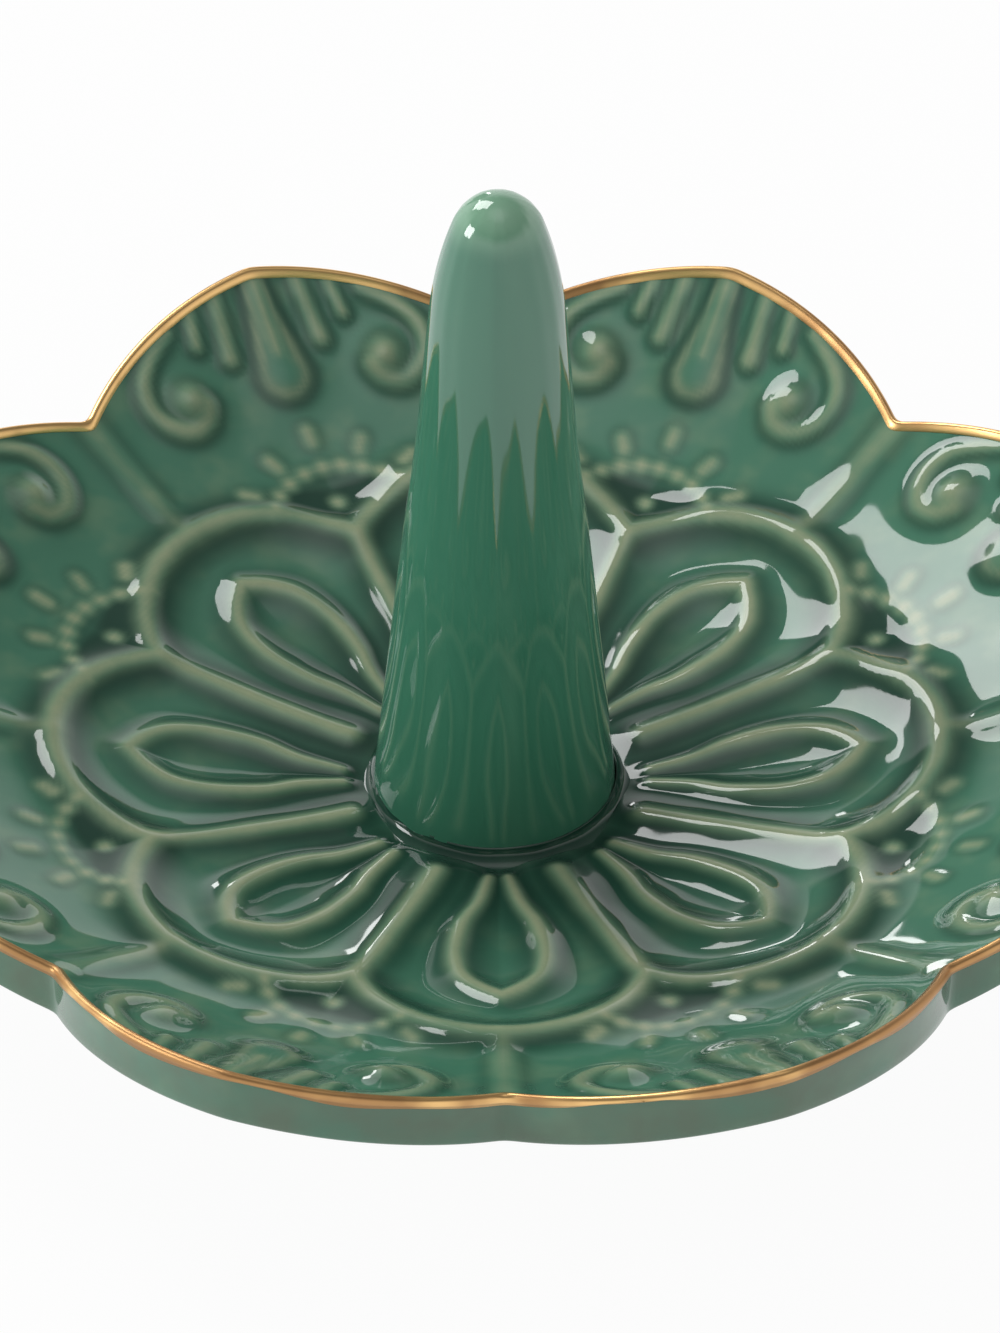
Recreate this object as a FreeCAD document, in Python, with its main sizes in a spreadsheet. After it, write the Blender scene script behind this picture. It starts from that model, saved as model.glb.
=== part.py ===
import FreeCAD
import Part
import Sketcher
import math
import os

# A glazed ceramic ring dish: an eight-lobed dish with a raised lotus, a hollow ring cone
# standing in a shallow seat at its middle, a slip seam round the cone's foot, and a gold
# lustre band along the rim.
#
# Frame: millimetres, origin on the table under the cone, +Z up, -Y towards the viewer.
# Petal tips and rim valleys lie at 0, 45, 90 degrees and so on, lobe tips half a step on.

doc = FreeCAD.newDocument("RingDish")
sheet = doc.addObject("Spreadsheet::Sheet", "Sizes")

driving_sizes = {
    # dish
    "lobe_count": 8,
    "floor_height": 6.0,
    "floor_sweep_radius": 130.0,
    "cove_start_radius": 24.0,
    "cove_sweep_radius": 64.5,
    "lobe_tip_radius": 51.5,
    "lobe_depth": 5.9,
    "lobe_bulge": 1.85,
    "trim_margin": 1.0,
    "dish_wall": 4.5,
    "foot_outer_radius": 23.0,
    "foot_width": 2.8,
    "vent_diameter": 3.5,
    # gold band along the rim
    "band_width": 0.8,
    "band_depth": 0.4,
    # ring cone and its seam
    "seat_depth": 0.6,
    "seat_clearance": 0.15,
    "cone_foot_radius": 9.45,
    "cone_shoulder_radius": 5.0,
    "cone_top_height": 61.1,
    "cone_shoulder_drop": 9.8,
    "cone_tip_radius": 3.55,
    "cone_wall": 2.6,
    "seam_width": 1.5,
    "seam_rise": 1.6,
    "seam_hollow_radius": 2.4,
    # lotus relief
    "ridge_width": 1.9,
    "fine_ridge_width": 1.6,
    "root_gap": 0.2,
    "rib_gap": 0.3,
    "rib_length": 11.6,
    "petal_arch_rise": 5.6,
    "loop_tip_inset": 6.1,
    "loop_belly_inset": 5.6,
    "loop_half_width": 3.45,
    "loop_root_half_gap": 0.95,
    "loop_tip_rounding": 1.5,
    "loop_root_flare": 1.3,
    # scrolls and hanging drops of each lobe
    "scroll_side": 9.3,
    "scroll_inset": 9.2,
    "scroll_curl_radius": 2.45,
    "scroll_stem_radius": 4.8,
    "scroll_stem_angle": 75.0,
    "scroll_join_angle": -8.0,
    "scroll_curl_angle": -160.0,
    "scroll_knob_width": 2.7,
    "big_drop_width": 4.4,
    "big_drop_inset": 2.1,
    "big_drop_length": 6.5,
    "middle_drop_width": 2.2,
    "middle_drop_side": 3.85,
    "middle_drop_inset": 2.8,
    "middle_drop_length": 3.3,
    "short_drop_width": 1.8,
    "short_drop_side": 6.2,
    "short_drop_inset": 3.5,
    "short_drop_length": 1.6,
    "drop_top_width": 0.8,
    "drop_sunk_share": 0.35,
    "drop_top_sunk_share": 0.5,
}

derived_sizes = {
    "lobe_valley_radius": "=lobe_tip_radius - lobe_depth",
    "cove_start_height":
        "=floor_height + floor_sweep_radius - sqrt(floor_sweep_radius^2 - cove_start_radius^2)",
    "cove_centre_radius": "=cove_start_radius * (1 - cove_sweep_radius / floor_sweep_radius)",
    "cove_centre_height":
        "=cove_start_height + (floor_height + floor_sweep_radius - cove_start_height)"
        " * cove_sweep_radius / floor_sweep_radius",
    "blank_radius": "=lobe_tip_radius + trim_margin",
    "blank_height":
        "=cove_centre_height - sqrt(cove_sweep_radius^2 - (blank_radius - cove_centre_radius)^2)",
    "blank_under": "=blank_height - dish_wall",
    "cove_start_under": "=cove_start_height - dish_wall",
    "vent_radius": "=vent_diameter / 2",
    "vent_under":
        "=floor_height - dish_wall + floor_sweep_radius - sqrt(floor_sweep_radius^2 - vent_radius^2)",
    "seat_height": "=floor_height - seat_depth",
    "seat_radius": "=cone_foot_radius + seat_clearance",
    "seat_edge_height":
        "=floor_height + floor_sweep_radius - sqrt(floor_sweep_radius^2 - seat_radius^2)",
    "foot_inner_radius": "=foot_outer_radius - foot_width",
    "foot_top":
        "=floor_height - dish_wall / 2 + floor_sweep_radius"
        " - sqrt(floor_sweep_radius^2 - foot_outer_radius^2)",
    "prism_height": "=blank_height + trim_margin",
    "band_start_height": "=cove_start_height - band_depth",
    "band_blank_height": "=blank_height - band_depth",
    "cone_shoulder_height": "=cone_top_height - cone_shoulder_drop",
    "cone_slope":
        "=(cone_foot_radius - cone_shoulder_radius) / (cone_shoulder_height - seat_height)",
    "cone_normal": "=sqrt(1 + cone_slope^2)",
    "tip_centre_height": "=cone_top_height - cone_tip_radius",
    "shoulder_below_tip": "=tip_centre_height - cone_shoulder_height",
    "shoulder_sweep_radius":
        "=(cone_shoulder_radius^2 + shoulder_below_tip^2 - cone_tip_radius^2) / (2 *"
        " ((cone_shoulder_radius - cone_slope * shoulder_below_tip) / cone_normal - cone_tip_radius))",
    "shoulder_centre_radius": "=cone_shoulder_radius - shoulder_sweep_radius / cone_normal",
    "shoulder_centre_height":
        "=cone_shoulder_height - cone_slope * shoulder_sweep_radius / cone_normal",
    "tip_start_radius":
        "=-shoulder_centre_radius * cone_tip_radius / (shoulder_sweep_radius - cone_tip_radius)",
    "tip_start_height":
        "=tip_centre_height + (tip_centre_height - shoulder_centre_height)"
        " * cone_tip_radius / (shoulder_sweep_radius - cone_tip_radius)",
    "hollow_foot_radius": "=cone_foot_radius - cone_wall",
    "hollow_shoulder_radius": "=cone_shoulder_radius - cone_wall",
    "hollow_top": "=cone_shoulder_height + hollow_shoulder_radius",
    "seam_reach": "=seat_radius + seam_width",
    "seam_reach_height":
        "=floor_height + floor_sweep_radius - sqrt(floor_sweep_radius^2 - seam_reach^2)",
    "seam_inner_radius": "=cone_foot_radius - cone_slope * (seat_edge_height - seat_height)",
    "seam_top_height": "=seat_edge_height + seam_rise",
    "seam_top_radius": "=cone_foot_radius - cone_slope * (seam_top_height - seat_height)",
    "petal_reach": "=lobe_valley_radius - rib_length",
    "petal_valley_radius": "=petal_reach - petal_arch_rise",
    "loop_reach": "=petal_reach - loop_tip_inset",
    "loop_belly_radius": "=loop_reach - loop_belly_inset",
    "scroll_reach": "=lobe_tip_radius - scroll_inset",
    "big_drop_top": "=lobe_tip_radius - big_drop_inset",
    "big_drop_reach": "=big_drop_top - big_drop_length",
    "middle_drop_top": "=lobe_tip_radius - middle_drop_inset",
    "middle_drop_reach": "=middle_drop_top - middle_drop_length",
    "short_drop_top": "=lobe_tip_radius - short_drop_inset",
    "short_drop_reach": "=short_drop_top - short_drop_length",
}


def fill_sheet():
    for row, (alias, number) in enumerate(list(driving_sizes.items()) + list(derived_sizes.items()), 1):
        sheet.set("A%d" % row, alias.replace("_", " "))
        sheet.set("B%d" % row, str(number))
        sheet.setAlias("B%d" % row, alias)
    doc.recompute()


def size(alias):
    return float(sheet.get(alias))


def plane_of(body, role):
    return [feature for feature in body.Origin.OriginFeatures if feature.Role == role][0]


def add_section(body, name, corners, bends):
    """Draw a closed section in the XZ plane and turn it round the Z axis.

    Each corner is a pair of sheet cells, radius and height, with None for a place on the axis
    or on the table. A bend maps the number of the edge that leaves a corner to the cell of its
    radius and to the side, +1 or -1, on which the arc's centre lies when walking along the edge.
    """
    sketch = body.newObject("Sketcher::SketchObject", name)
    sketch.AttachmentSupport = [(plane_of(body, "XZ_Plane"), "")]
    sketch.MapMode = "FlatFace"
    places = [(size(across) if across else 0.0, size(up) if up else 0.0) for across, up in corners]
    ends = []
    for edge, start in enumerate(places):
        finish = places[(edge + 1) % len(places)]
        first = FreeCAD.Vector(start[0], start[1], 0)
        last = FreeCAD.Vector(finish[0], finish[1], 0)
        if edge not in bends:
            ends.append((sketch.addGeometry(Part.LineSegment(first, last)), 1, 2))
            continue
        radius_cell, side = bends[edge]
        radius = size(radius_cell)
        chord = last - first
        reach = math.sqrt(radius ** 2 - (chord.Length / 2) ** 2)
        left = FreeCAD.Vector(-chord.y, chord.x, 0).normalize()
        centre = (first + last) * 0.5 + left * (side * reach)
        turns_left = side > 0
        begin, stop = (first, last) if turns_left else (last, first)
        begin_angle = math.atan2(begin.y - centre.y, begin.x - centre.x)
        stop_angle = math.atan2(stop.y - centre.y, stop.x - centre.x)
        if stop_angle < begin_angle:
            stop_angle += 2 * math.pi
        circle = Part.Circle(centre, FreeCAD.Vector(0, 0, 1), radius)
        number = sketch.addGeometry(Part.ArcOfCircle(circle, begin_angle, stop_angle))
        ends.append((number, 1, 2) if turns_left else (number, 2, 1))
    for edge, (number, first_end, last_end) in enumerate(ends):
        next_number, next_first, next_last = ends[(edge + 1) % len(ends)]
        sketch.addConstraint(Sketcher.Constraint("Coincident", number, last_end, next_number, next_first))
    for edge, (across, up) in enumerate(corners):
        number, first_end, last_end = ends[edge]
        for cell, kind, axis, place in ((across, "DistanceX", -2, 0), (up, "DistanceY", -1, 1)):
            if cell is None:
                sketch.addConstraint(Sketcher.Constraint("PointOnObject", number, first_end, axis))
                continue
            bound = sketch.addConstraint(
                Sketcher.Constraint(kind, -1, 1, number, first_end, places[edge][place]))
            sketch.setExpression("Constraints[%d]" % bound, "Sizes." + cell)
    for edge, (radius_cell, side) in bends.items():
        bound = sketch.addConstraint(Sketcher.Constraint("Radius", ends[edge][0], size(radius_cell)))
        sketch.setExpression("Constraints[%d]" % bound, "Sizes." + radius_cell)
    turned = body.newObject("PartDesign::Revolution", name + "_turned")
    turned.Profile = sketch
    turned.ReferenceAxis = (sketch, ["V_Axis"])
    turned.Angle = 360.0
    doc.recompute()


def new_body(name):
    """A turned body whose seam line lies a quarter step round, clear of the relief."""
    body = doc.addObject("PartDesign::Body", name)
    body.Label = name
    quarter_step = 90 / size("lobe_count")
    body.Placement.Rotation = FreeCAD.Rotation(FreeCAD.Vector(0, 0, 1), quarter_step)
    doc.recompute()
    return body


def dish_blank():
    body = new_body("dish_blank")
    add_section(
        body, "dish_section",
        [("vent_radius", "seat_height"), ("seat_radius", "seat_height"),
         ("seat_radius", "seat_edge_height"), ("cove_start_radius", "cove_start_height"),
         ("blank_radius", "blank_height"), ("blank_radius", "blank_under"),
         ("cove_start_radius", "cove_start_under"), ("vent_radius", "vent_under")],
        {2: ("floor_sweep_radius", 1), 3: ("cove_sweep_radius", 1),
         5: ("cove_sweep_radius", -1), 6: ("floor_sweep_radius", -1)})
    add_section(
        body, "foot_section",
        [("foot_inner_radius", None), ("foot_outer_radius", None),
         ("foot_outer_radius", "foot_top"), ("foot_inner_radius", "foot_top")],
        {})
    return body


def band_layer():
    body = new_body("band_layer")
    add_section(
        body, "band_section",
        [("cove_start_radius", "cove_start_height"), ("blank_radius", "blank_height"),
         ("blank_radius", "band_blank_height"), ("cove_start_radius", "band_start_height")],
        {0: ("cove_sweep_radius", 1), 2: ("cove_sweep_radius", -1)})
    return body


def ring_cone():
    body = new_body("ring_cone")
    add_section(
        body, "cone_section",
        [("hollow_foot_radius", "seat_height"), ("cone_foot_radius", "seat_height"),
         ("cone_shoulder_radius", "cone_shoulder_height"), ("tip_start_radius", "tip_start_height"),
         (None, "cone_top_height"), (None, "hollow_top"),
         ("hollow_shoulder_radius", "cone_shoulder_height")],
        {2: ("shoulder_sweep_radius", 1), 3: ("cone_tip_radius", 1),
         5: ("hollow_shoulder_radius", -1)})
    return body


def cone_seam():
    body = new_body("cone_seam")
    add_section(
        body, "seam_section",
        [("seam_inner_radius", "seat_edge_height"), ("seat_radius", "seat_edge_height"),
         ("seam_reach", "seam_reach_height"), ("seam_top_radius", "seam_top_height")],
        {1: ("floor_sweep_radius", 1), 2: ("seam_hollow_radius", -1)})
    return body


def lobed_outline():
    """Two equal arcs for each lobe, from valley to tip and from tip to valley."""
    step = 2 * math.pi / size("lobe_count")

    def rim_point(radius, turn):
        return FreeCAD.Vector(radius * math.cos(turn), radius * math.sin(turn), 0)

    edges = []
    for lobe in range(int(size("lobe_count"))):
        valley = rim_point(size("lobe_valley_radius"), lobe * step)
        tip = rim_point(size("lobe_tip_radius"), (lobe + 0.5) * step)
        next_valley = rim_point(size("lobe_valley_radius"), (lobe + 1) * step)
        for start, finish in ((valley, tip), (tip, next_valley)):
            along = (finish - start).normalize()
            outward = FreeCAD.Vector(along.y, -along.x, 0)
            crown = (start + finish) * 0.5 + outward * size("lobe_bulge")
            edges.append(Part.Arc(start, crown, finish).toShape())
    outline = doc.addObject("Part::Feature", "lobed_outline")
    outline.Shape = Part.Wire(edges)
    return outline


def raised(source, name):
    """Stand a plan outline up as a prism taller than the dish."""
    prism = doc.addObject("Part::Extrusion", name)
    prism.Base = source
    prism.Dir = (0, 0, 1)
    prism.DirMode = "Custom"
    prism.Solid = True
    prism.setExpression("LengthFwd", "Sizes.prism_height")
    return prism


def boolean(kind, name, first, second):
    result = doc.addObject("Part::" + kind, name)
    result.Base = first
    result.Tool = second
    return result


def bowl_height(radius):
    """Height of the glazed inside at a distance from the axis."""
    if radius < size("cove_start_radius"):
        sweep = size("floor_sweep_radius")
        return size("floor_height") + sweep - math.sqrt(sweep ** 2 - radius ** 2)
    from_centre = radius - size("cove_centre_radius")
    return size("cove_centre_height") - math.sqrt(size("cove_sweep_radius") ** 2 - from_centre ** 2)


def on_bowl(side, out, turn):
    """A point on the glazed inside, out along a direction and to its left side."""
    across = out * math.cos(turn) - side * math.sin(turn)
    along = out * math.sin(turn) + side * math.cos(turn)
    return FreeCAD.Vector(across, along, bowl_height(math.hypot(side, out)))


def into_clay(side, out, turn, depth):
    """A point under the glazed inside, straight down from its surface."""
    point = on_bowl(side, out, turn)
    probe = 0.5
    sideways = on_bowl(side + probe, out, turn) - on_bowl(side - probe, out, turn)
    uphill = on_bowl(side, out + probe, turn) - on_bowl(side, out - probe, turn)
    return point + sideways.cross(uphill).normalize() * depth


def bowl_arc(start, middle, finish):
    return Part.Arc(start, middle, finish).toShape()


def along_ridge(point, along):
    """Z along the ridge and X, where a round surface has its seam, down into the clay."""
    down = FreeCAD.Vector(0, 0, -1)
    return FreeCAD.Placement(point, FreeCAD.Rotation(down, FreeCAD.Vector(), along, "ZXY"))


def ridge(edges, width):
    """A round ridge: a tube along joined edges, half sunk in the glazed surface."""
    path = Part.Wire(edges)
    start = path.OrderedEdges[0]
    section = Part.Wire(Part.makeCircle(width / 2))
    section.Placement = along_ridge(start.valueAt(start.FirstParameter),
                                    start.tangentAt(start.FirstParameter))
    return path.makePipeShell([section], True, False)


def straight_ridge(start, finish, width):
    along = finish - start
    straight = Part.makeCylinder(width / 2, along.Length)
    straight.Placement = along_ridge(start, along)
    return straight


def knot(point, width):
    """A round end or joint, a little fatter than the ridges that run into it."""
    fuller = 1.08
    return Part.makeSphere(width / 2 * fuller, point)


def petal_pieces(turn, half_step):
    """One rounded petal arch, from foot to foot over its tip."""
    foot_side = size("petal_valley_radius") * math.sin(half_step)
    foot_out = size("petal_valley_radius") * math.cos(half_step)
    arch = bowl_arc(on_bowl(-foot_side, foot_out, turn), on_bowl(0, size("petal_reach"), turn),
                    on_bowl(foot_side, foot_out, turn))
    return [ridge([arch], size("ridge_width"))]


def rib_pieces(turn):
    """The rib from a petal's tip to just short of the gold band in the rim valley."""
    width = size("fine_ridge_width")
    reach = size("lobe_valley_radius") - size("band_width") - width / 2 - size("rib_gap")
    start = on_bowl(0, size("petal_reach"), turn)
    finish = on_bowl(0, reach, turn)
    return [straight_ridge(start, finish, width), knot(finish, width)]


def spoke_pieces(turn):
    """The straight ridge between two petals, from the cone's seam to the petal junction."""
    width = size("ridge_width")
    root = on_bowl(0, size("seam_reach") + width / 2 + size("root_gap"), turn)
    junction = on_bowl(0, size("petal_valley_radius"), turn)
    return [straight_ridge(root, junction, width), knot(root, width), knot(junction, width)]


def loop_pieces(turn):
    """The drop-shaped loop inside a petal, drawn in a plane that lies along the floor."""
    width = size("fine_ridge_width")
    root_out = size("seam_reach") + width / 2 + size("root_gap")
    root = on_bowl(0, root_out, turn)
    along = (on_bowl(0, size("loop_reach"), turn) - root).normalize()
    left = FreeCAD.Vector(-math.sin(turn), math.cos(turn), 0)

    def place(out, side):
        return root + along * (out - root_out) + left * side

    belly = size("loop_belly_radius")
    half = size("loop_half_width")
    gap = size("loop_root_half_gap")
    rounding = size("loop_tip_rounding")
    reach = size("loop_reach")
    # inner stretch: a straight run that turns into the belly
    slant = size("loop_root_flare") * math.atan2(half - gap, belly - root_out)
    inner = (math.tan(slant) * (belly - root_out) - (half - gap)) / (1 / math.cos(slant) - 1)
    # outer stretch: an arc from the belly that runs smoothly into the rounded tip
    tip_centre = reach - rounding
    outer = ((tip_centre - belly) ** 2 + half ** 2 - rounding ** 2) / (2 * (half - rounding))
    tip_slant = math.atan2(tip_centre - belly, outer - half)

    def side_edges(sign):
        run_end = place(belly - inner * math.sin(slant), sign * (half - inner * (1 - math.cos(slant))))
        inner_middle = place(belly - inner * math.sin(slant / 2),
                             sign * (half - inner * (1 - math.cos(slant / 2))))
        outer_middle = place(belly + outer * math.sin(tip_slant / 2),
                             sign * (half - outer * (1 - math.cos(tip_slant / 2))))
        tip_start = place(belly + outer * math.sin(tip_slant),
                          sign * (half - outer * (1 - math.cos(tip_slant))))
        start = place(root_out, sign * gap)
        return start, run_end, inner_middle, place(belly, sign * half), outer_middle, tip_start

    start, run_end, inner_middle, widest, outer_middle, tip_start = side_edges(1)
    far_start, far_run_end, far_inner_middle, far_widest, far_outer_middle, far_tip = side_edges(-1)
    edges = [Part.LineSegment(start, run_end).toShape(),
             bowl_arc(run_end, inner_middle, widest),
             bowl_arc(widest, outer_middle, tip_start),
             bowl_arc(tip_start, place(reach, 0), far_tip),
             bowl_arc(far_tip, far_outer_middle, far_widest),
             bowl_arc(far_widest, far_inner_middle, far_run_end),
             Part.LineSegment(far_run_end, far_start).toShape()]
    return [ridge(edges, width)]


def scroll_pieces(turn, hand):
    """A stem that springs from the rim and curls in to a round knob, left or right of a lobe."""
    width = size("fine_ridge_width")
    eye_side = hand * size("scroll_side")
    eye_out = size("scroll_reach")
    eye = on_bowl(eye_side, eye_out, turn)
    sideways = on_bowl(eye_side + hand, eye_out, turn) - eye
    sideways.normalize()
    uphill = on_bowl(eye_side, eye_out + 1, turn) - eye
    uphill = (uphill - sideways * uphill.dot(sideways)).normalize()
    curl = size("scroll_curl_radius")
    stem = size("scroll_stem_radius")
    stem_angle = math.radians(size("scroll_stem_angle"))
    join_angle = math.radians(size("scroll_join_angle"))
    curl_angle = math.radians(size("scroll_curl_angle"))

    def spot(centre, radius, angle):
        return centre + sideways * (radius * math.cos(angle)) + uphill * (radius * math.sin(angle))

    stem_centre = spot(eye, curl - stem, join_angle)
    stem_edge = bowl_arc(spot(stem_centre, stem, stem_angle),
                         spot(stem_centre, stem, (stem_angle + join_angle) / 2),
                         spot(stem_centre, stem, join_angle))
    curl_edge = bowl_arc(spot(eye, curl, join_angle),
                         spot(eye, curl, (join_angle + curl_angle) / 2),
                         spot(eye, curl, curl_angle))
    return [ridge([stem_edge, curl_edge], width),
            knot(spot(stem_centre, stem, stem_angle), width),
            Part.makeSphere(size("scroll_knob_width") / 2, spot(eye, curl / 2, curl_angle))]


def drop_piece(turn, side, kind):
    """A drop that hangs from the rim: a round end that tapers away into the surface."""
    round_end = size(kind + "_width") / 2
    thin_end = size("drop_top_width") / 2
    bulb = into_clay(side, size(kind + "_reach"), turn, round_end * size("drop_sunk_share"))
    rim = into_clay(side, size(kind + "_top"), turn, thin_end * size("drop_top_sunk_share"))
    axis = rim - bulb
    taper = math.asin((round_end - thin_end) / axis.Length)
    shoulder = FreeCAD.Vector(round_end * math.cos(taper), 0, round_end * math.sin(taper))
    waist = -(math.pi / 2 - taper) / 2
    belly = FreeCAD.Vector(round_end * math.cos(waist), 0, round_end * math.sin(waist))
    bottom = FreeCAD.Vector(0, 0, -round_end)
    neck = FreeCAD.Vector(thin_end * math.cos(taper), 0, axis.Length + thin_end * math.sin(taper))
    peak = FreeCAD.Vector(0, 0, neck.z)
    half = Part.Wire([bowl_arc(bottom, belly, shoulder),
                      Part.LineSegment(shoulder, neck).toShape(),
                      Part.LineSegment(neck, peak).toShape(),
                      Part.LineSegment(peak, bottom).toShape()])
    drop = Part.Face(half).revolve(FreeCAD.Vector(0, 0, 0), FreeCAD.Vector(0, 0, 1), 360)
    drop.Placement = along_ridge(bulb, axis)
    return drop


def side_drops(turn, kind):
    """A pair of drops, one each side of a lobe's big one."""
    return [drop_piece(turn, hand * size(kind + "_side"), kind) for hand in (1, -1)]


def relief_stages():
    """Raised solids in the order in which they are joined to the dish."""
    half_step = math.pi / size("lobe_count")
    petals = [2 * half_step * number for number in range(int(size("lobe_count")))]
    lobes = [turn + half_step for turn in petals]
    return {
        "petal arches": [piece for turn in petals for piece in petal_pieces(turn, half_step)],
        "spokes": [piece for turn in lobes for piece in spoke_pieces(turn)],
        "ribs": [piece for turn in petals for piece in rib_pieces(turn)],
        "loops": [piece for turn in petals for piece in loop_pieces(turn)],
        "scrolls": [piece for turn in lobes for hand in (1, -1) for piece in scroll_pieces(turn, hand)],
        "big drops": [drop_piece(turn, 0, "big_drop") for turn in lobes],
        "middle drops": [piece for turn in lobes for piece in side_drops(turn, "middle_drop")],
        "short drops": [piece for turn in lobes for piece in side_drops(turn, "short_drop")],
    }


def with_relief(plain):
    """Join the raised work to the plain dish, and see that each stage really stands proud."""
    least_share = 0.15
    carved = plain
    for stage, pieces in relief_stages().items():
        fuller = carved.multiFuse(pieces)
        share = (fuller.Volume - carved.Volume) / sum(piece.Volume for piece in pieces)
        print("%s: %.2f of their bulk stands proud" % (stage, share))
        if share < least_share:
            raise RuntimeError("the %s did not join the dish" % stage)
        carved = fuller
    return carved


def named(feature, name):
    feature.Label = name
    return feature


fill_sheet()
outline = lobed_outline()
rim_prism = raised(outline, "rim_prism")
inset = doc.addObject("Part::Offset2D", "band_outline")
inset.Source = outline
inset.Join = "Arc"
inset.setExpression("Value", "-Sizes.band_width")
inset_prism = raised(inset, "inset_prism")
band_prism = boolean("Cut", "band_prism", rim_prism, inset_prism)
gold_rim = named(boolean("Common", "gold_rim_solid", band_prism, band_layer()), "gold_rim")
trimmed = boolean("Common", "trimmed_dish", dish_blank(), rim_prism)
rebated = boolean("Cut", "rebated_dish", trimmed, gold_rim)
doc.recompute()
dish = doc.addObject("Part::Feature", "dish_solid")
dish.Shape = with_relief(rebated.Shape)
dish.Label = "dish"
nodes = [dish, ring_cone(), cone_seam(), gold_rim]
doc.recompute()

for item in doc.Objects:
    if "Invalid" in item.State or "Error" in item.State:
        raise RuntimeError("%s failed: %s" % (item.Label, item.State))
for node in nodes:
    if node.Shape.isNull() or not node.Shape.isValid() or len(node.Shape.Solids) != 1:
        raise RuntimeError("%s is not one valid solid" % node.Label)
os.makedirs("parts", exist_ok=True)
for node in nodes:
    print("%s: %.1f cubic millimetres" % (node.Label, node.Shape.Volume))
    node.Shape.exportStep(os.path.join("parts", node.Label + ".step"))
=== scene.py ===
import bmesh
import bpy
import numpy as np
from math import atan2, cos, hypot, pi, radians, sin, sqrt
from mathutils import Matrix, Quaternion, Vector


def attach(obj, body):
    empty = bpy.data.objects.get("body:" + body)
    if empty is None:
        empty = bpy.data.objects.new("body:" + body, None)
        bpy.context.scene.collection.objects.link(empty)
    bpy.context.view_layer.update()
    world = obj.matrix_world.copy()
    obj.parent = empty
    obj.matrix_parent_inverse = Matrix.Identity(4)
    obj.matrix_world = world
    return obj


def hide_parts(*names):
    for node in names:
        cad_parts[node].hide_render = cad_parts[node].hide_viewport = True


# Ring dish: eight-lobed green glazed dish with a raised lotus, a ring cone and a gold rim.
# The pieces are in millimetres, the part's frame: +Z up, -Y towards the viewer. The studio is in metres.
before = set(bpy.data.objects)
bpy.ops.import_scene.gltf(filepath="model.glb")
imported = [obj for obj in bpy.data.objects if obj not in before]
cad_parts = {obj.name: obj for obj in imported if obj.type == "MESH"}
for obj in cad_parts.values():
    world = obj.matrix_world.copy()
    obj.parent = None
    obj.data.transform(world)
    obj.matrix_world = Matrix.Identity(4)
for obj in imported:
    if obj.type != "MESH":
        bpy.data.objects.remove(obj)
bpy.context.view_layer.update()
mm = 0.001
print("frame:", sorted(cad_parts))


# shader wiring

class Wire:
    # one shader value; operators on it add Math nodes
    def __init__(self, finish, socket):
        self.finish = finish
        self.socket = socket

    def maths(self, operation, first, second):
        return self.finish.add("ShaderNodeMath", {"operation": operation}, {0: first, 1: second})

    def __add__(self, other):
        return self.maths("ADD", self, other)

    def __radd__(self, other):
        return self.maths("ADD", other, self)

    def __sub__(self, other):
        return self.maths("SUBTRACT", self, other)

    def __rsub__(self, other):
        return self.maths("SUBTRACT", other, self)

    def __mul__(self, other):
        return self.maths("MULTIPLY", self, other)

    def __rmul__(self, other):
        return self.maths("MULTIPLY", other, self)

    def atLeast(self, other):
        return self.maths("MAXIMUM", self, other)


class Finish:
    # the nodes of one material, or of the world
    def __init__(self, owner):
        owner.use_nodes = True
        self.owner = owner
        self.tree = owner.node_tree
        self.tree.nodes.clear()

    def add(self, kind, settings, sockets, output=0):
        # settings first, then the sockets' values or links; an output node hands nothing back
        node = self.tree.nodes.new(kind)
        for name, value in settings.items():
            if name == "stops":
                self.setStops(node.color_ramp.elements, value)
            else:
                setattr(node, name, value)
        for key, value in sockets.items():
            if isinstance(value, Wire):
                self.tree.links.new(value.socket, node.inputs[key])
            else:
                node.inputs[key].default_value = value
        return Wire(self, node.outputs[output]) if len(node.outputs) else None

    def setStops(self, stops, greys):
        while len(stops) < len(greys):
            stops.new(1.0)
        for stop, (place, grey) in zip(stops, greys):
            stop.position = place
            stop.color = (grey, grey, grey, 1)

    def painted(self, name):
        return self.add("ShaderNodeAttribute", {"attribute_name": name}, {}, "Fac")

    def position(self):
        return self.add("ShaderNodeNewGeometry", {}, {}, "Position")

    def noise(self, scale, detail, roughness, upright=1.0):
        # upright below 1 draws the pattern out along Z
        place = self.add("ShaderNodeMapping", {}, {"Vector": self.position(), "Scale": (1, 1, upright)})
        sockets = {"Vector": place, "Scale": scale, "Detail": detail, "Roughness": roughness}
        return self.add("ShaderNodeTexNoise", {}, sockets, "Fac")

    def smoothStep(self, value, low, high):
        sockets = {"Value": value, "From Min": low, "From Max": high}
        return self.add("ShaderNodeMapRange", {"interpolation_type": "SMOOTHSTEP"}, sockets)

    def colourMix(self, factor, first, second):
        # a Mix node's colours go in at sockets 6 and 7 and come out at 2
        settings = {"data_type": "RGBA", "clamp_factor": True}
        return self.add("ShaderNodeMix", settings, {0: factor, 6: first, 7: second}, 2)

    def output(self, surface, kind="ShaderNodeOutputMaterial"):
        self.add(kind, {}, {"Surface": surface})
        return self.owner


# shapes shared by the pieces

bowl = {
    "floorHeight": 6.0,
    "floorSweep": 130.0,
    "coveStart": 24.0,
    "coveSweep": 64.5,
    "slopeProbe": 0.01,
    "wall": 4.5,
    "lobes": 8,
    "lobeTip": 51.5,
    "lobeValley": 45.6,
    "lobeBulge": 1.85,
    "valleySoftening": 1.1,      # degrees each way over which the notch is rounded
    "valleySteps": 9,
    "valleyEnds": 0.05,          # weight left at the ends of that stretch
}


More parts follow.
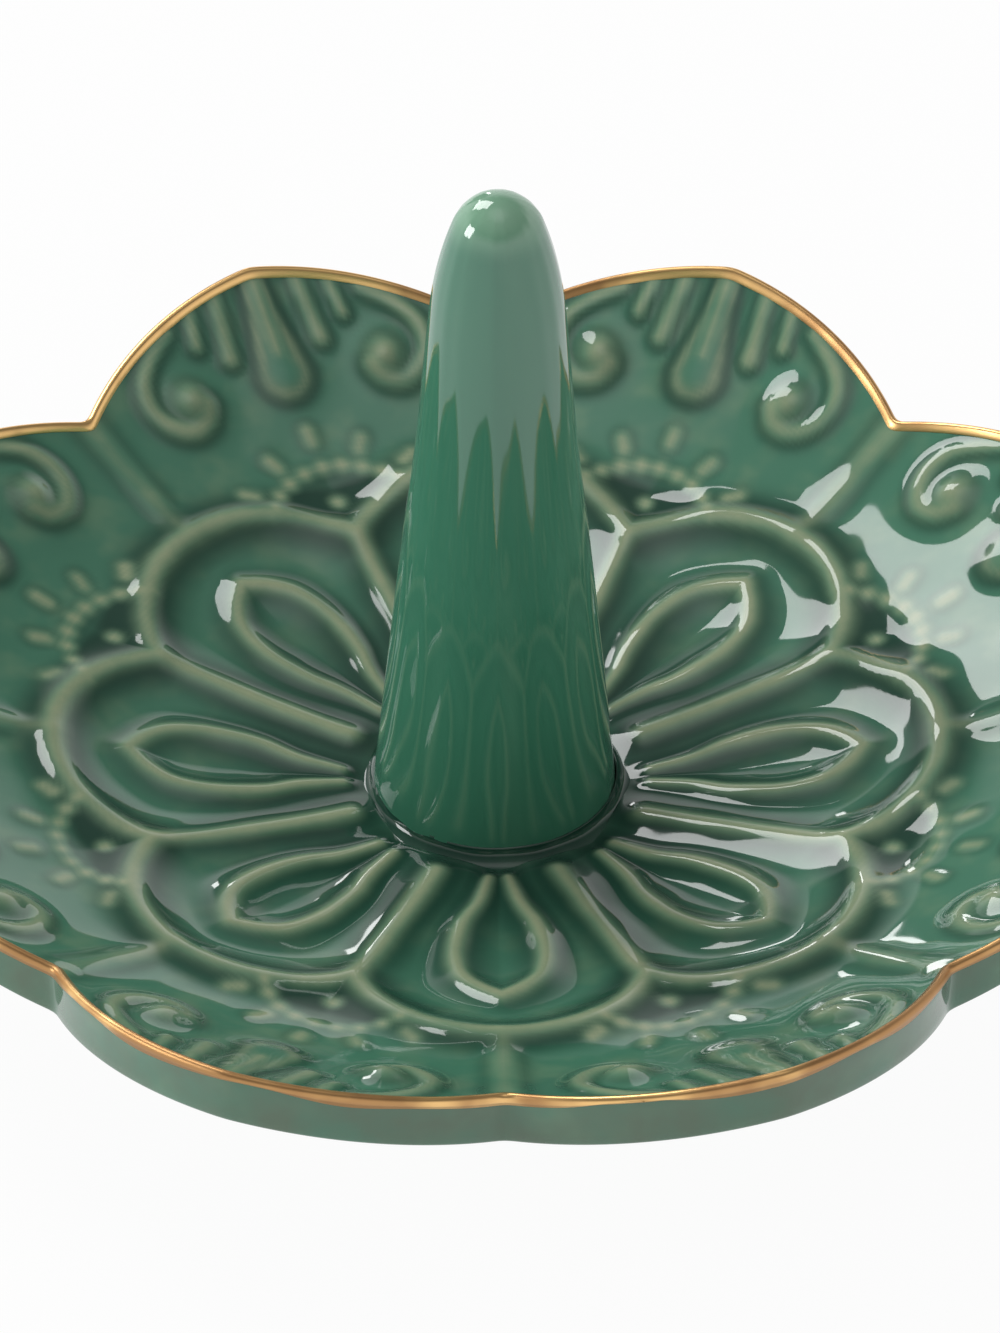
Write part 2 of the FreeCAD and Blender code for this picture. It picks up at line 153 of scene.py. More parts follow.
def bowlHeight(r):
    # the nearly flat floor, and the cove that runs on from it without a break
    floorCentre = bowl["floorHeight"] + bowl["floorSweep"]
    onFloor = floorCentre - np.sqrt(bowl["floorSweep"] ** 2 - np.minimum(r, bowl["coveStart"]) ** 2)
    startHeight = floorCentre - sqrt(bowl["floorSweep"] ** 2 - bowl["coveStart"] ** 2)
    share = bowl["coveSweep"] / bowl["floorSweep"]
    coveR = bowl["coveStart"] * (1 - share)
    coveZ = startHeight + (floorCentre - startHeight) * share
    onCove = coveZ - np.sqrt(bowl["coveSweep"] ** 2 - (np.maximum(r, bowl["coveStart"]) - coveR) ** 2)
    return np.where(r < bowl["coveStart"], onFloor, onCove)


def bowlSlope(r):
    probe = bowl["slopeProbe"]
    return (bowlHeight(r + probe) - bowlHeight(r - probe)) / (2 * probe)


def lobeFold(theta, shift):
    # signed angle to the nearest lobe axis (shift half a step) or petal axis (shift 0)
    step = 2 * pi / bowl["lobes"]
    turned = theta - shift
    return turned - step * np.round(turned / step)


def sharpOutline(theta):
    # two arcs for each lobe, from valley to a soft point and back
    half = pi / bowl["lobes"]
    tip = np.array([0.0, bowl["lobeTip"]])
    valley = bowl["lobeValley"] * np.array([sin(half), cos(half)])
    chord = valley - tip
    length = hypot(*chord)
    sweep = (length ** 2 / 4 + bowl["lobeBulge"] ** 2) / (2 * bowl["lobeBulge"])
    outward = np.array([-chord[1], chord[0]]) / length
    centre = (tip + valley) / 2 - outward * (sweep - bowl["lobeBulge"])
    angle = np.abs(lobeFold(theta, half))
    along = centre[0] * np.sin(angle) + centre[1] * np.cos(angle)
    return along + np.sqrt(along ** 2 - centre @ centre + sweep ** 2)


def rimOutline(theta):
    # the outline averaged over a small angle, which rounds its notches
    spread = radians(bowl["valleySoftening"])
    offsets = np.linspace(-spread, spread, bowl["valleySteps"])
    weights = np.cos(offsets / spread * pi / 2) + bowl["valleyEnds"]
    return sum(w * sharpOutline(theta + o) for w, o in zip(weights, offsets)) / weights.sum()


def gridObject(name, rings, closed):
    # rings of points, each (segments, 3) in millimetres, joined to a skin of quads
    grid = np.stack(rings) * mm
    count, segments = grid.shape[:2]
    last = count if closed else count - 1
    thisRing = np.arange(last)[:, None] * segments
    nextRing = (np.arange(last)[:, None] + 1) % count * segments
    thisStep = np.arange(segments)[None, :]
    nextStep = (thisStep + 1) % segments
    corners = [thisRing + thisStep, thisRing + nextStep, nextRing + nextStep, nextRing + thisStep]
    mesh = bpy.data.meshes.new(name)
    mesh.from_pydata(grid.reshape(-1, 3).tolist(), [], np.stack(corners, axis=-1).reshape(-1, 4).tolist())
    mesh.shade_smooth()
    mesh.update()
    thing = bpy.data.objects.new(name, mesh)
    bpy.context.scene.collection.objects.link(thing)
    return thing


def paintPoints(thing, name, values):
    layer = thing.data.attributes.new(name, "FLOAT", "POINT")
    layer.data.foreach_set("value", np.ascontiguousarray(values, dtype=np.float32).ravel())


def ringAt(r, z, theta):
    return np.stack([r * np.cos(theta), r * np.sin(theta), z + 0 * theta], axis=-1)


def handMade(theta, seed, orders, size):
    # a slow wander round the dish, the same each run; orders are its waves in one turn
    chance = np.random.RandomState(seed)
    wander = 0 * theta
    for order in orders:
        wander = wander + chance.normal() * np.sin(order * theta + chance.uniform(0, 2 * pi))
    return wander * size / sqrt(len(orders))


# raised lotus

lotus = {
    "archTip": 34.0,
    "archFoot": 28.3,            # where two petals meet, from the axis
    "archOutside": (0.55, 1.3),  # its outer swell at tip and foot, as shares of the one in the petal
    "spokeRoot": 12.2,
    "ribEnd": 45.2,
    "ribWidens": 0.15,
    "ribFlattens": 0.85,
    # points are (sideways from the middle of the petal or lobe, out from the axis)
    "loop": [(0.75, 11.8), (1.55, 15.1), (2.75, 18.0), (3.4, 21.6), (3.05, 24.8), (1.75, 26.8),
             (0.0, 28.2)],
    "loopRoot": 0.62,            # the loop's size at its root, as a share of that at its tip
    "loopGrows": 2.5,            # it is full size after 1 / 2.5 of its length
    "scroll": [(8.3, 48.0), (10.4, 46.3), (11.7, 44.5), (11.9, 42.6), (11.0, 41.1), (9.3, 40.3),
               (7.7, 40.9), (7.1, 42.1)],
    "scrollTail": 0.65,          # the scroll's size at the rim, as a share of that at its curl
    "scrollGrows": 1.6,
    "scrollSteps": 6,
    "knob": (8.3, 42.6),
    # drops: side at the top, side at the bulb, top, bulb, half width at the top and at the bulb
    "bigDrop": (0.0, 0.0, 50.6, 43.3, 1.0, 2.3),
    "bigDropSwell": 1.3,
    "bigDropEdge": (0.7, 0.38, 0.5),      # place and width as shares of the drop's width, paleness
    "bigDropStreak": [(0.0, 50.2), (0.0, 45.0)],
    "bigDropStreakLook": (0.7, 0.62),     # half width, paleness
    "slimDrops": [(3.5, 3.9, 50.2, 45.3, 0.75, 0.85), (6.0, 6.3, 49.4, 46.6, 0.65, 0.65)],
    # share of a drop's height that it has at the top, and share that the bulb adds
    "bigDropHeight": (0.6, 0.4),
    "slimDropHeight": (0.7, 0.3),
    "fanDots": [(0.0, 38.0), (3.7, 36.4), (6.8, 34.1)],
    "fanCentre": 30.5,
    "fanLength": 0.9,
    "smallArch": [(0.0, 35.3), (1.6, 35.1), (3.1, 34.5), (4.4, 33.5), (5.3, 32.4), (6.0, 31.4)],
    "curveSteps": 8,
    "pocketBead": (0.0, 32.0),
    "pocketMiddle": 32.2,
    "pocketSize": (4.3, 2.3),
    # one depth for each lobe, round from +X, as they are pressed in by hand
    "pocketDepths": (0.45, 0.45, 0.45, 0.12, 0.15, 0.12, 0.12, 0.45),
    "pocketPool": 0.6,
    "crestShare": 0.25,          # of a ridge's height that is its crest; the rest is its broad swell
    "lineShare": 0.7,            # fine crest line and thin glaze, as shares of the ridge's half width
    "thinShare": 1.25,
    "shadeInside": 0.5,          # how far the painted shade reaches into a ridge, as a share of its half width
    "poolByFloor": 0.5,
    "poolRim": 33.0,             # glaze that ran down the bowl deepens from here
    "poolFloor": 15.0,           # to here
    "joining": 3.0,              # how roundly crossing ridges run together
    # wander of the whole pattern: seed, waves in one turn, size
    "wanderOut": (4, (2, 3, 5, 8, 11), 0.16),
    "wanderRound": (9, (2, 3, 5, 7, 13), 0.16),
    "waveSeed": 77,
    "waveLengths": (5.0, 6.3, 7.9, 10.4, 13.0),
    "waveUnit": 8.0,             # a wave of this length has the full size
    "waveSize": 0.014,
}
# for each sort of raised form: half width of its crest and of its swell, height, squareness of the crest,
# paleness of the glaze on it, darkness beside it (pooled glaze and painted shade) and how far that reaches
forms = {
    "arch": (1.05, 3.4, 1.1, 2.3, 0.74, 0.75, 2.1),
    "spoke": (0.95, 3.2, 1.0, 2.2, 0.85, 0.45, 1.6),
    "rib": (1.25, 1.45, 0.55, 2.6, 0.48, 0.45, 1.0),
    "loop": (0.85, 2.15, 0.95, 2.0, 0.85, 0.4, 1.7),
    "scroll": (0.95, 1.25, 0.5, 2.3, 0.62, 0.6, 0.9),
    "knob": (1.6, 1.95, 0.95, 2.0, 0.72, 0.5, 0.8),
    "bigDrop": (1.0, 1.15, 0.5, 2.6, 0.0, 0.75, 1.0),
    "slimDrop": (1.0, 1.3, 0.34, 2.2, 0.64, 0.6, 0.8),
    "fanDot": (0.82, 1.1, 0.1, 2.0, 0.74, 0.4, 0.7),
    "bead": (0.75, 0.85, 0.04, 2.0, 0.88, 0.2, 0.4),
    "smallArch": (0.62, 1.1, 0.1, 2.0, 0.46, 0.35, 0.7),
}


def curveThrough(points, steps):
    # Catmull-Rom curve through listed points
    knots = np.array(points, dtype=float)
    knots = np.vstack([2 * knots[0] - knots[1], knots, 2 * knots[-1] - knots[-2]])
    t = np.linspace(0, 1, steps, endpoint=False)[:, None]
    spans = []
    for a, b, c, d in zip(knots, knots[1:], knots[2:], knots[3:]):
        spans.append(0.5 * (2 * b + (c - a) * t + (2 * a - 5 * b + 4 * c - d) * t ** 2
                            + (3 * b - a - 3 * c + d) * t ** 3))
    return np.vstack(spans + [knots[-2:-1]])


def pathDistance(side, out, path):
    # distance to the nearest stretch of a path, and how far along it that is, 0 to 1
    best = np.full(side.shape, np.inf)
    share = np.zeros(side.shape)
    count = len(path) - 1
    for number in range(count):
        start, step = path[number], path[number + 1] - path[number]
        along = np.clip(((side - start[0]) * step[0] + (out - start[1]) * step[1]) / (step @ step), 0, 1)
        gap = np.hypot(side - start[0] - along * step[0], out - start[1] - along * step[1])
        nearer = gap < best
        share = np.where(nearer, (number + along) / count, share)
        best = np.where(nearer, gap, best)
    return best, share


def softHill(gap, spread):
    return np.exp(-(gap / spread) ** 2)


def reliefAt(x, y):
    # the raised work at these places: height of the surface, fine crest lines, thin glaze, and pooled
    # glaze with painted shade beside the ridges
    theta = np.arctan2(y, x)
    r = np.hypot(x, y)
    half = pi / bowl["lobes"]
    petalAngle = lobeFold(theta, 0.0)
    lobeAngle = lobeFold(theta, half)
    petalSide, petalOut = np.abs(r * np.sin(petalAngle)), r * np.cos(petalAngle)
    lobeSide, lobeOut = np.abs(r * np.sin(lobeAngle)), r * np.cos(lobeAngle)
    power = lotus["joining"]
    share = lotus["crestShare"]
    fields = {"height": 0 * r, "line": 0 * r, "thin": 0 * r, "dark": 0 * r}

    def brighten(gap, width, pale):
        fields["line"] = fields["line"] + (pale * softHill(gap, width * lotus["lineShare"])) ** power
        fields["thin"] = fields["thin"] + (pale * softHill(gap, width * lotus["thinShare"])) ** power

    def lift(gap, name, wider=1.0, higher=1.0, broader=1.0):
        width, swell, height, square, pale, dark, reach = forms[name]
        crest = width * wider
        broad = softHill(gap, swell * wider * broader)
        hill = share * np.exp(-(gap / crest) ** square) + (1 - share) * broad
        fields["height"] = fields["height"] + (height * higher * hill) ** power
        brighten(gap, crest, pale)
        outside = gap - crest
        # darkness beside the ridge: glaze pooled there, and painted shade
        halo = softHill(outside, np.where(outside > 0, reach, crest * lotus["shadeInside"]))
        fields["dark"] = np.maximum(fields["dark"], dark * halo)

    # petal arches, the spokes between petals and the ribs out to the rim
    tip, foot = lotus["archTip"], lotus["archFoot"]
    footSide, footOut = foot * sin(half), foot * cos(half)
    archCentre = (tip ** 2 - footSide ** 2 - footOut ** 2) / (2 * (tip - footOut))
    archRadius = tip - archCentre
    footAngle = atan2(footSide, footOut - archCentre)
    archAngle = np.clip(np.arctan2(petalSide, petalOut - archCentre), 0, footAngle)
    archGap = np.hypot(petalSide - archRadius * np.sin(archAngle),
                       petalOut - archCentre - archRadius * np.cos(archAngle))
    beyondArch = np.hypot(petalSide, petalOut - archCentre) > archRadius
    outsideTip, outsideFoot = lotus["archOutside"]
    outside = outsideTip + (outsideFoot - outsideTip) * (archAngle / footAngle) ** 2
    lift(archGap, "arch", broader=np.where(beyondArch, outside, 1.0))
    beyond = np.maximum(lotus["spokeRoot"] - lobeOut, lobeOut - foot)
    lift(np.hypot(lobeSide, np.maximum(0, beyond)), "spoke")
    beyond = np.maximum(tip - petalOut, petalOut - lotus["ribEnd"])
    along = np.clip((petalOut - tip) / (lotus["ribEnd"] - tip), 0, 1)
    wider = 1 + lotus["ribWidens"] * along
    lift(np.hypot(petalSide, np.maximum(0, beyond)), "rib", wider, 1 - lotus["ribFlattens"] * along)
    # loop in each petal, finer towards its root
    gap, along = pathDistance(petalSide, petalOut, curveThrough(lotus["loop"], lotus["curveSteps"]))
    root = lotus["loopRoot"]
    size = root + (1 - root) * np.clip(along * lotus["loopGrows"], 0, 1)
    lift(gap, "loop", size, size)
    # scroll and knob on each side of a lobe
    gap, along = pathDistance(lobeSide, lobeOut, curveThrough(lotus["scroll"], lotus["scrollSteps"]))
    tail = lotus["scrollTail"]
    size = tail + (1 - tail) * np.clip(along * lotus["scrollGrows"], 0, 1)
    lift(gap, "scroll", size, size)
    lift(np.hypot(lobeSide - lotus["knob"][0], lobeOut - lotus["knob"][1]), "knob")
    # drops that hang from the rim, the big one pale round its edge and down its middle
    topSide, bulbSide, top, bulb, topWidth, bulbWidth = lotus["bigDrop"]
    gap, along = pathDistance(lobeSide, lobeOut, np.array([(topSide, top), (bulbSide, bulb)]))
    fat = topWidth + (bulbWidth - topWidth) * along ** lotus["bigDropSwell"]
    topHeight, bulbHeight = lotus["bigDropHeight"]
    lift(gap, "bigDrop", fat, topHeight + bulbHeight * along)
    edgePlace, edgeWidth, edgePale = lotus["bigDropEdge"]
    brighten(np.abs(gap - fat * edgePlace), fat * edgeWidth, edgePale)
    streakWidth, streakPale = lotus["bigDropStreakLook"]
    brighten(pathDistance(lobeSide, lobeOut, np.array(lotus["bigDropStreak"]))[0], streakWidth, streakPale)
    topHeight, bulbHeight = lotus["slimDropHeight"]
    for topSide, bulbSide, top, bulb, topWidth, bulbWidth in lotus["slimDrops"]:
        gap, along = pathDistance(lobeSide, lobeOut, np.array([(topSide, top), (bulbSide, bulb)]))
        width = topWidth + (bulbWidth - topWidth) * along
        lift(gap, "slimDrop", width, topHeight + bulbHeight * along)
    # fan of dabs, and the small arch with its beads
    for side, out in lotus["fanDots"]:
        away = np.array([side, out - lotus["fanCentre"]])
        away = away / hypot(*away) * lotus["fanLength"] / 2
        dab = np.array([(side, out) - away, (side, out) + away])
        lift(pathDistance(lobeSide, lobeOut, dab)[0], "fanDot")
    smallArch = curveThrough(lotus["smallArch"], lotus["curveSteps"])
    lift(pathDistance(lobeSide, lobeOut, smallArch)[0], "smallArch")
    for side, out in list(smallArch[::lotus["curveSteps"]][:-1]) + [lotus["pocketBead"]]:
        lift(np.hypot(lobeSide - side, lobeOut - out), "bead")
    # pockets pressed in between the petal tips, the glaze that ran down into them and the floor, and the
    # painted shade beside the ridges
    wide, deep = lotus["pocketSize"]
    pocket = np.exp(-((lobeSide / wide) ** 2 + ((lobeOut - lotus["pocketMiddle"]) / deep) ** 2) ** 2)
    lobeNumber = np.floor(theta / (2 * half)).astype(int) % bowl["lobes"]
    surface = fields["height"] ** (1 / power) - pocket * np.array(lotus["pocketDepths"])[lobeNumber]
    sunk = np.clip((lotus["poolRim"] - r) / (lotus["poolRim"] - lotus["poolFloor"]), 0, 1)
    poolAndShade = fields["dark"] + sunk * lotus["poolByFloor"] + pocket * lotus["pocketPool"]
    return surface, fields["line"] ** (1 / power), fields["thin"] ** (1 / power), np.clip(poolAndShade, 0, 1)


def glazeWave(x, y):
    # slow unevenness of the glaze, a few sines in seeded directions
    chance = np.random.RandomState(lotus["waveSeed"])
    wave = 0 * x
    for length in lotus["waveLengths"]:
        direction = chance.uniform(0, 2 * pi)
        phase = chance.uniform(0, 2 * pi)
        along = x * cos(direction) + y * sin(direction)
        wave = wave + np.sin(along * 2 * pi / length + phase) * length / lotus["waveUnit"]
    return wave * lotus["waveSize"]


# dish

dishPiece = {
    "segments": 704,
    "innerRings": 55,
    "outerRings": 41,
    "circleReach": 33.0,         # rings are round inside this and follow the lobes outside it
    "seatRadius": 9.6,
    "seatHeight": 5.4,
    "ventRadius": 1.75,
    "ventRing": 3.2,             # height of a ring part of the way up the vent
    "reliefFades": 1.5,          # the raised work dies away over this beside the lip
    "lipRadius": 0.36,
    "lipTurn": 150,              # degrees from the outside, over the top, to the inside
    "lipRings": 7,
    "goldOver": 0.04,            # gold lies this far outside the clay
    "wallRings": (0.2, 0.5, 0.8),
    "wallHollow": 0.04,
    "lowerRound": 0.4,
    "lowerRings": 5,
    "lowerPaint": 0.5,           # share of the outer wall's colour lost round the lower edge
    "underRings": (0.12, 1, 9),  # from here to here on the way in to the foot, and how many
    "underPaint": 0.4,
    "footOuter": 23.0,
    "footInner": 20.2,
    "footRound": 0.5,
    "footRings": 4,
    "footGlaze": 1.6,            # the glaze stays whole down to this height
    # bare clay starts this far above the foot's rounding, and how bare it is there
    "clayOutside": (0.3, 0.5),
    "clayInside": (0.4, 0.6),
    "hollowCorner": (0.5, 0.15),  # width and height of the corner under the floor
    "hollowRings": 5,
}


def lipPoint(outline, crest, radius, angle):
    # a place on the rounded lip; angle 0 is the outside, a right angle its top
    lip = dishPiece["lipRadius"]
    return outline - lip + radius * cos(angle), crest - lip + radius * sin(angle)


def makeDish():
    piece = dishPiece
    theta = np.linspace(0, 2 * pi, piece["segments"], endpoint=False)
    outline = rimOutline(theta)
    crest = bowlHeight(outline)
    lip = piece["lipRadius"]
    rings = []
    paint = {"crestLine": [], "thinGlaze": [], "pooled": [], "bareClay": [], "outerWall": []}

    def put(r, z, **painted):
        rings.append(ringAt(r, z, theta))
        for name in paint:
            paint[name].append(painted.get(name, 0.0) + 0 * theta)

    vent, seat, reach = piece["ventRadius"], piece["seatRadius"], piece["circleReach"]
    put(vent, piece["seatHeight"], bareClay=1.0)
    put(seat, piece["seatHeight"], bareClay=1.0)
    # glazed inside, with the raised work along the surface normal
    edge = outline - 2 * lip
    radii = [r + 0 * theta for r in np.linspace(seat, reach, piece["innerRings"], endpoint=False)]
    for share in np.linspace(0, 1, piece["outerRings"] + 1):
        radii.append(reach + share * (edge - reach))
    wanderOut = handMade(theta, *lotus["wanderOut"])
    wanderRound = handMade(theta, *lotus["wanderRound"])
    for r in radii:
        x = (r + wanderOut) * np.cos(theta) - wanderRound * np.sin(theta)
        y = (r + wanderOut) * np.sin(theta) + wanderRound * np.cos(theta)
        height, line, thin, poolAndShade = reliefAt(x, y)
        fromRim = np.clip((edge - r) / piece["reliefFades"], 0, 1)
        height = height * fromRim + glazeWave(x, y) * fromRim
        slope = bowlSlope(r)
        lean = 1 / np.sqrt(1 + slope ** 2)
        level = bowlHeight(r) + height * lean
        put(r - height * slope * lean, level, crestLine=line, thinGlaze=thin, pooled=poolAndShade)
    # lip, outer wall and rounded lower edge
    clayLip = lip - piece["goldOver"]
    for angle in np.linspace(radians(piece["lipTurn"]), 0, piece["lipRings"]):
        put(*lipPoint(outline, crest, clayLip, angle), outerWall=min(1, max(0, 1 - angle)))
    side = outline - piece["goldOver"]
    under = crest - bowl["wall"]
    low = piece["lowerRound"]
    for share in piece["wallRings"]:
        level = (crest - lip) * (1 - share) + (under + low) * share
        put(side - piece["wallHollow"] * sin(share * pi), level, outerWall=1.0)
    for angle in np.linspace(0, pi / 2, piece["lowerRings"]):
        level = under + low - low * sin(angle)
        put(side - low + low * cos(angle), level, outerWall=1.0 - piece["lowerPaint"] * angle / (pi / 2))
    # underside, foot ring, hollow under the floor and vent
    outer, inner, soft = piece["footOuter"], piece["footInner"], piece["footRound"]
    for share in np.linspace(*piece["underRings"]):
        r = (side - low) * (1 - share) + outer * share
        put(r, bowlHeight(r) - bowl["wall"], outerWall=piece["underPaint"])
    put(outer, piece["footGlaze"])
    above, bare = piece["clayOutside"]
    put(outer, soft + above, bareClay=bare)
    turns = np.linspace(0, pi / 2, piece["footRings"])
    for angle in turns:
        put(outer - soft + soft * cos(angle), soft - soft * sin(angle), bareClay=1.0)
    for angle in turns:
        put(inner + soft - soft * sin(angle), soft - soft * cos(angle), bareClay=1.0)
    above, bare = piece["clayInside"]
    put(inner, soft + above, bareClay=bare)
    cornerWidth, cornerHeight = piece["hollowCorner"]
    put(inner, bowlHeight(inner) - bowl["wall"] - cornerHeight)
    for r in np.linspace(inner - cornerWidth, vent, piece["hollowRings"]):
        put(r, bowlHeight(r) - bowl["wall"])
    put(vent, piece["ventRing"])
    dish = gridObject("glazedDish", rings, True)
    for name, rows in paint.items():
        paintPoints(dish, name, np.stack(rows))
    dish.data.materials.append(glazeFinish("dishGlaze", dishGlaze))
    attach(dish, "root")
    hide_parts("dish")
    print("dish:", len(dish.data.polygons), "faces")


# glaze

dishGlaze = {
    # dark glaze where it pooled, also used for the painted shade beside the raised work
    "deep": (0.018, 0.064, 0.042, 1),
    "body": (0.075, 0.228, 0.147, 1),
    "thin": (0.195, 0.325, 0.198, 1),
    "line": (0.390, 0.430, 0.265, 1),
    "wall": (0.104, 0.176, 0.113, 1),
    "clay": (0.56, 0.47, 0.36, 1),
    "mottle": 0.45,
    "upright": 1.0,
    "gloss": 0.05,
    "ior": 1.54,
}
coneGlaze = {
    **dishGlaze,
    "deep": (0.034, 0.150, 0.092, 1),
    "body": (0.052, 0.215, 0.132, 1),
    "thin": (0.240, 0.450, 0.300, 1),
    "line": (0.240, 0.450, 0.300, 1),
    "mottle": 0.13,
    "upright": 0.015,
    "ior": 1.75,
}
pooledGlaze = {
    **dishGlaze,
    "deep": (0.006, 0.030, 0.020, 1),
    "body": (0.012, 0.055, 0.036, 1),
    "thin": (0.060, 0.160, 0.095, 1),
    "line": (0.060, 0.160, 0.095, 1),
    "mottle": 0.2,
}
noiseMiddle = 0.5                # noise varies round this
glazeGrain = {
    # patterns in the glaze: scale, detail, roughness
    "cloud": (170.0, 3.0, 0.55),
    "fleck": (1500.0, 2.0, 0.6),
    "streak": (240.0, 2.0, 0.5),
    "mottleFrom": (0.42, 0.75),
    # painted masks: how far clouds break up the edge, where the mask starts and where it is full
    "crestLine": (0.8, 0.15, 1.1),
    "thinGlaze": (0.4, 0.12, 0.9),
    "pooled": (0.25, 0.0, 0.95),
    "bareClay": (0.3, 0.45, 0.6),
    "thinCover": 0.9,
    "lineCover": (0.85, 0.4),    # cover, and how much flecks change it
    "wallCover": (0.7, 2.4),     # cover, and how much clouds change it
    "clayRough": 0.7,
    "fleckRough": 0.02,
}


def glazeFinish(name, look):
    finish = Finish(bpy.data.materials.new(name))
    cloud = finish.noise(*glazeGrain["cloud"]) - noiseMiddle
    fleck = finish.noise(*glazeGrain["fleck"]) - noiseMiddle
    streak = finish.noise(*glazeGrain["streak"], look["upright"])

    def mask(layer):
        breaking, low, high = glazeGrain[layer]
        return finish.smoothStep(finish.painted(layer) + cloud * breaking, low, high)

    mottle = finish.smoothStep(streak, *glazeGrain["mottleFrom"]) * look["mottle"]
    mottled = finish.colourMix(mottle, look["body"], look["thin"])
    # pooled glaze, and painted shade beside the raised work, in the deep colour
    green = finish.colourMix(mask("pooled"), mottled, look["deep"])
    paler = finish.colourMix(mask("thinGlaze") * glazeGrain["thinCover"], green, look["thin"])
    cover, change = glazeGrain["lineCover"]
    glazed = finish.colourMix(mask("crestLine") * (cover + fleck * change), paler, look["line"])
    cover, change = glazeGrain["wallCover"]
    walled = finish.colourMix(finish.painted("outerWall") * (cover + cloud * change), glazed, look["wall"])
    clayey = mask("bareClay")
    colour = finish.colourMix(clayey, walled, look["clay"])
    rough = clayey * glazeGrain["clayRough"] + look["gloss"] + fleck * glazeGrain["fleckRough"]
    sockets = {"Base Color": colour, "Roughness": rough, "IOR": look["ior"]}
    return finish.output(finish.add("ShaderNodeBsdfPrincipled", {}, sockets))


# ring cone

conePiece = {
    "segments": 192,
    "footRadius": 9.45,
    "footHeight": 5.4,
    "shoulderRadius": 5.0,
    "shoulderHeight": 51.3,
    "tipRadius": 3.55,
    "top": 61.1,
    "wall": 2.6,
    "flankRings": 60,
    "shoulderRings": 16,
    "tipRings": 26,
    "tipOpening": 0.02,          # radians short of the very top, where a cap closes the skin
    "hollowRings": 8,
    "hollowOpening": 0.05,
    # unevenness: seed, waves in one turn, size
    "wander": (31, (2, 3), 0.04),
    "facets": (35, (7, 11, 16, 23), 0.016),
    "wanderTwist": 1.3,          # radians that it turns from foot to top
    "facetTwist": 0.2,
    "evenTip": 4.0,              # it dies away inside this radius
    "room": 0.06,                # kept for it inside the solid
    "lean": (-0.08, -0.32),      # sideways at the foot and at the top
    "waist": (39.0, 7.0, 0.16),  # height, spread and depth of a shallow waist
    "thinFrom": 57.0,            # glaze ran thin on the tip from here up
}


def coneProfile():
    # points from foot to tip: straight flank, shoulder arc and round tip, all tangent
    p = conePiece
    slope = (p["footRadius"] - p["shoulderRadius"]) / (p["shoulderHeight"] - p["footHeight"])
    steep = sqrt(1 + slope ** 2)
    tipCentre = p["top"] - p["tipRadius"]
    below = tipCentre - p["shoulderHeight"]
    lean = (p["shoulderRadius"] - slope * below) / steep - p["tipRadius"]
    sweep = (p["shoulderRadius"] ** 2 + below ** 2 - p["tipRadius"] ** 2) / (2 * lean)
    centreR = p["shoulderRadius"] - sweep / steep
    centreZ = p["shoulderHeight"] - slope * sweep / steep
    startAngle = atan2(p["shoulderHeight"] - centreZ, p["shoulderRadius"] - centreR)
    joinAngle = atan2(tipCentre - centreZ, -centreR)
    endAngle = pi / 2 - p["tipOpening"]
    points = [(p["footRadius"] - slope * (z - p["footHeight"]), z)
              for z in np.linspace(p["footHeight"], p["shoulderHeight"], p["flankRings"], endpoint=False)]
    points += [(centreR + sweep * cos(a), centreZ + sweep * sin(a))
               for a in np.linspace(startAngle, joinAngle, p["shoulderRings"], endpoint=False)]
    points += [(p["tipRadius"] * cos(a), tipCentre + p["tipRadius"] * sin(a))
               for a in np.linspace(joinAngle, endAngle, p["tipRings"])]
    return points


def capEnds(thing, ringCount, segments):
    # close the small round openings at the first and last ring
    skin = bmesh.new()
    skin.from_mesh(thing.data)
    skin.verts.ensure_lookup_table()
    first = [skin.verts[n] for n in range(segments)]
    last = [skin.verts[(ringCount - 1) * segments + n] for n in range(segments)]
    skin.faces.new(first[::-1])
    skin.faces.new(last)
    skin.to_mesh(thing.data)
    skin.free()
    thing.data.shade_smooth()


def makeRingCone():
    piece = conePiece
    theta = np.linspace(0, 2 * pi, piece["segments"], endpoint=False)
    rings = []
    hollow = piece["shoulderRadius"] - piece["wall"]
    for angle in np.linspace(pi / 2 - piece["hollowOpening"], 0, piece["hollowRings"]):
        rings.append(ringAt(hollow * cos(angle), piece["shoulderHeight"] + hollow * sin(angle), theta))
    rings.append(ringAt(piece["footRadius"] - piece["wall"], piece["footHeight"], theta))
    thin = [0 * theta for ring in rings]
    leanFoot, leanTop = piece["lean"]
    middle, spread, depth = piece["waist"]
    for r, z in coneProfile():
        climb = (z - piece["footHeight"]) / (piece["top"] - piece["footHeight"])
        fade = np.minimum(1, r / piece["evenTip"])
        wander = handMade(theta + climb * piece["wanderTwist"], *piece["wander"]) * fade
        facets = handMade(theta + climb * piece["facetTwist"], *piece["facets"]) * fade
        waist = depth * softHill(z - middle, spread)
        ring = ringAt(np.minimum(r, r - piece["room"] + wander + facets - waist), z, theta)
        ring[:, 0] += leanFoot + (leanTop - leanFoot) * climb
        rings.append(ring)
        upTip = (z - piece["thinFrom"]) / (piece["top"] - piece["thinFrom"])
        thin.append(0 * theta + np.clip(upTip, 0, 1))
    cone = gridObject("glazedCone", rings, False)
    capEnds(cone, len(rings), piece["segments"])
    paintPoints(cone, "thinGlaze", np.stack(thin))
    cone.data.materials.append(glazeFinish("coneGlaze", coneGlaze))
    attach(cone, "root")
    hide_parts("ring_cone")
    print("cone:", len(cone.data.polygons), "faces")


# seam of slip and pooled glaze round the cone

seamPiece = {
    "segments": 240,
    "inner": 9.2,
    "reach": 10.83,
    "rise": 1.35,
    # unevenness of its edge and of its height: seed, waves in one turn, size
    "reachWander": (12, (3, 5, 8, 13), 0.11),
    "riseWander": (15, (2, 5, 9), 0.1),
    "baseRadius": 9.5,           # its underside is taken from the floor's height here
    "sunk": 0.3,                 # and lies this far under it
    "film": 0.02,
    "rings": 12,
}


